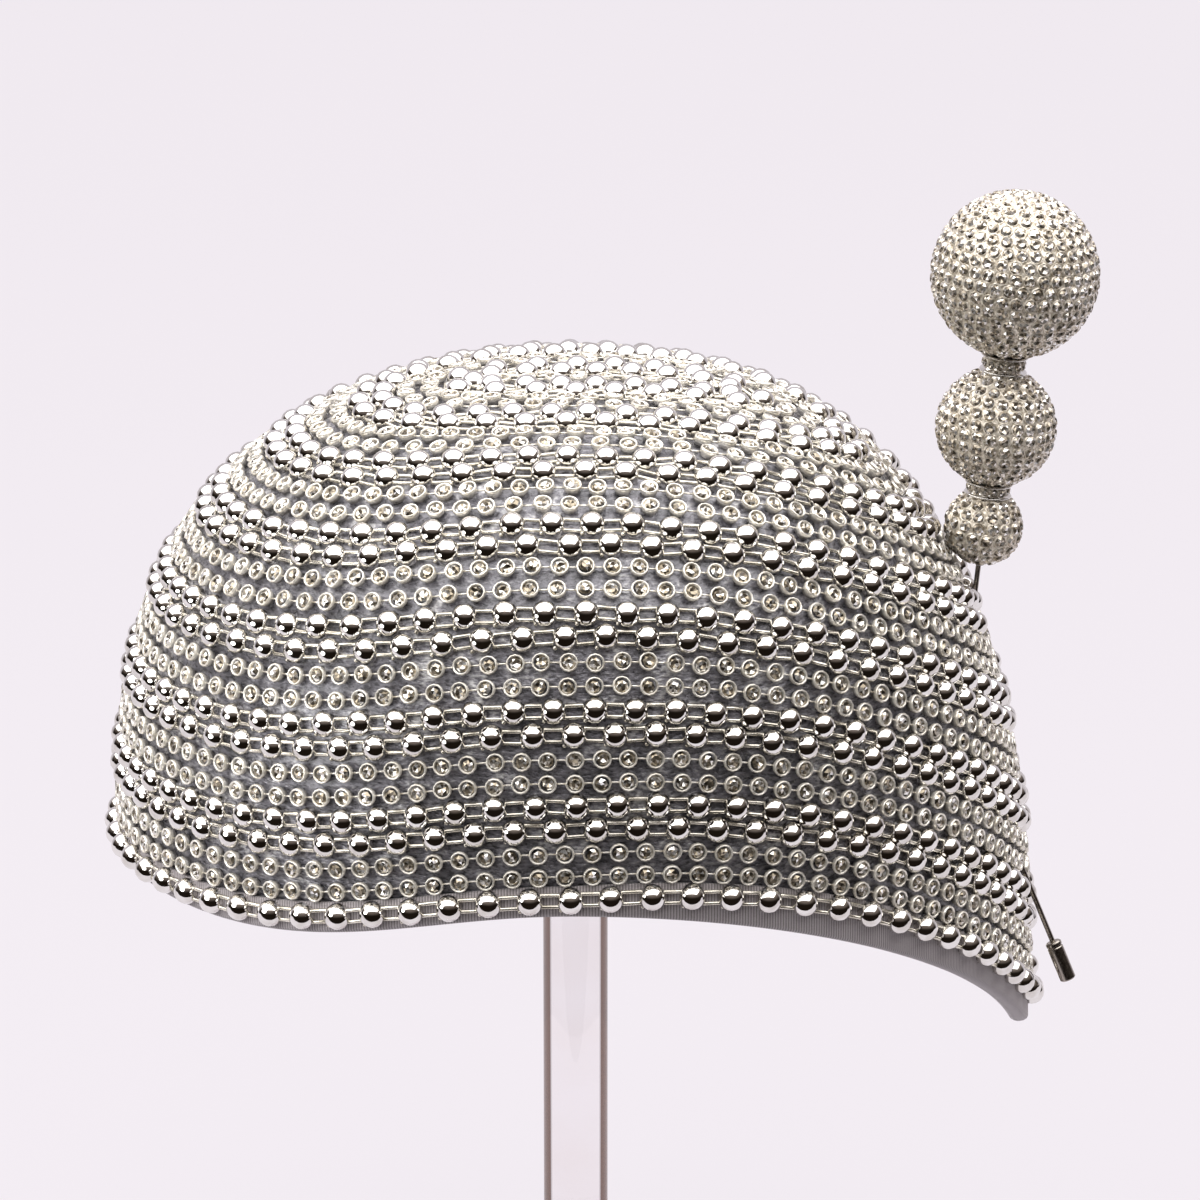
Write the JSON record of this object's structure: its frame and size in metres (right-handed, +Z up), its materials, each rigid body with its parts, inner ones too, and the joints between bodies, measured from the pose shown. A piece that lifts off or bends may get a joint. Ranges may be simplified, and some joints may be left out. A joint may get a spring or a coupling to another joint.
{
  "type": "evening hat with a hatpin, on a display stand",
  "caption": "Close-fitting felt cap with a pointed front, covered in looped bands of silver balls and set crystals, with a pavé ball hatpin, held on a clear post stand.",
  "frame": {"origin": "centre of the underside of the stand's base, on the axis of its post", "axes": "+X towards the hat's pointed front and the hatpin, +Y towards the hat's left side, away from the camera of the picture, +Z up along the post"},
  "size_m": [0.2255, 0.1878, 0.285],
  "materials": {
    "grey_felt": "grey felt under a fine net",
    "grey_ribbon": "ribbed grosgrain ribbon",
    "silver_balls": "mirror silver plate",
    "set_crystal": "cut crystals in silver-plated cups",
    "pave_crystal": "small cut crystals set close together",
    "pin_steel": "drawn steel wire",
    "clear_acrylic": "clear polished acrylic"
  },
  "bodies": {
    "root": {"cap_shell": "grey_felt", "edge_binding": "grey_ribbon", "rim_beads": "silver_balls", "stone_trim_1": "set_crystal", "bead_trim_1": "silver_balls", "stone_trim_2": "set_crystal", "bead_trim_2": "silver_balls", "stone_trim_3": "set_crystal", "bead_trim_3": "silver_balls", "stone_trim_4": "set_crystal", "bead_trim_4": "silver_balls", "stone_trim_5": "set_crystal", "bead_trim_5": "silver_balls", "stone_trim_6": "set_crystal", "bead_trim_6": "silver_balls", "stone_trim_7": "set_crystal", "bead_trim_7": "silver_balls", "crown_stones": "set_crystal", "pin_ball_large": "pave_crystal", "pin_ball_medium": "pave_crystal", "pin_ball_small": "pave_crystal", "pin_rondelle_upper": "pave_crystal", "pin_rondelle_lower": "pave_crystal", "pin_wire": "pin_steel", "pin_clutch": "pin_steel", "stand_base": "clear_acrylic", "stand_post": "clear_acrylic", "hat_rest": "clear_acrylic"}
  },
  "joints": []
}
